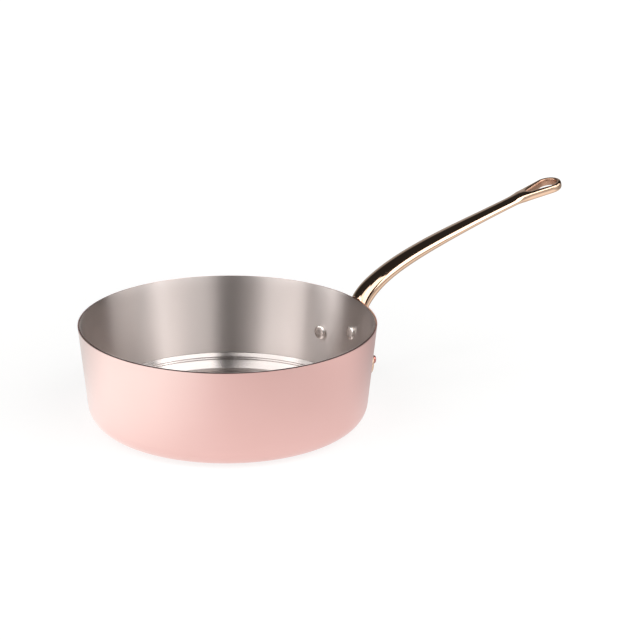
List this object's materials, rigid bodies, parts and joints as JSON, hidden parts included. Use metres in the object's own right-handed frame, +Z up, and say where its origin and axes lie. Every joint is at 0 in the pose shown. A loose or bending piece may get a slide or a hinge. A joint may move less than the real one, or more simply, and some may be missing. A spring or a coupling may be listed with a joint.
{
  "type": "saute pan",
  "caption": "Open round saute pan with slightly leaning walls, copper outside and steel inside, and one long riveted bronze handle that ends in a hanging loop.",
  "frame": {"origin": "centre of the bowl's flat underside", "axes": "+Z up along the bowl's axis, +X out along the handle"},
  "size_m": [0.4483, 0.244, 0.1617],
  "materials": {
    "copper": "polished copper",
    "aluminium": "cut edge",
    "steel": "satin stainless steel",
    "bronze": "polished cast bronze"
  },
  "bodies": {
    "root": {"copper_skin": "copper", "aluminium_core": "aluminium", "steel_lining": "steel", "handle": "bronze", "rivet_socket_left": "steel", "rivet_socket_centre": "steel", "rivet_socket_right": "steel", "rivet_pin_left": "copper", "rivet_pin_centre": "copper", "rivet_pin_right": "copper"}
  },
  "joints": []
}
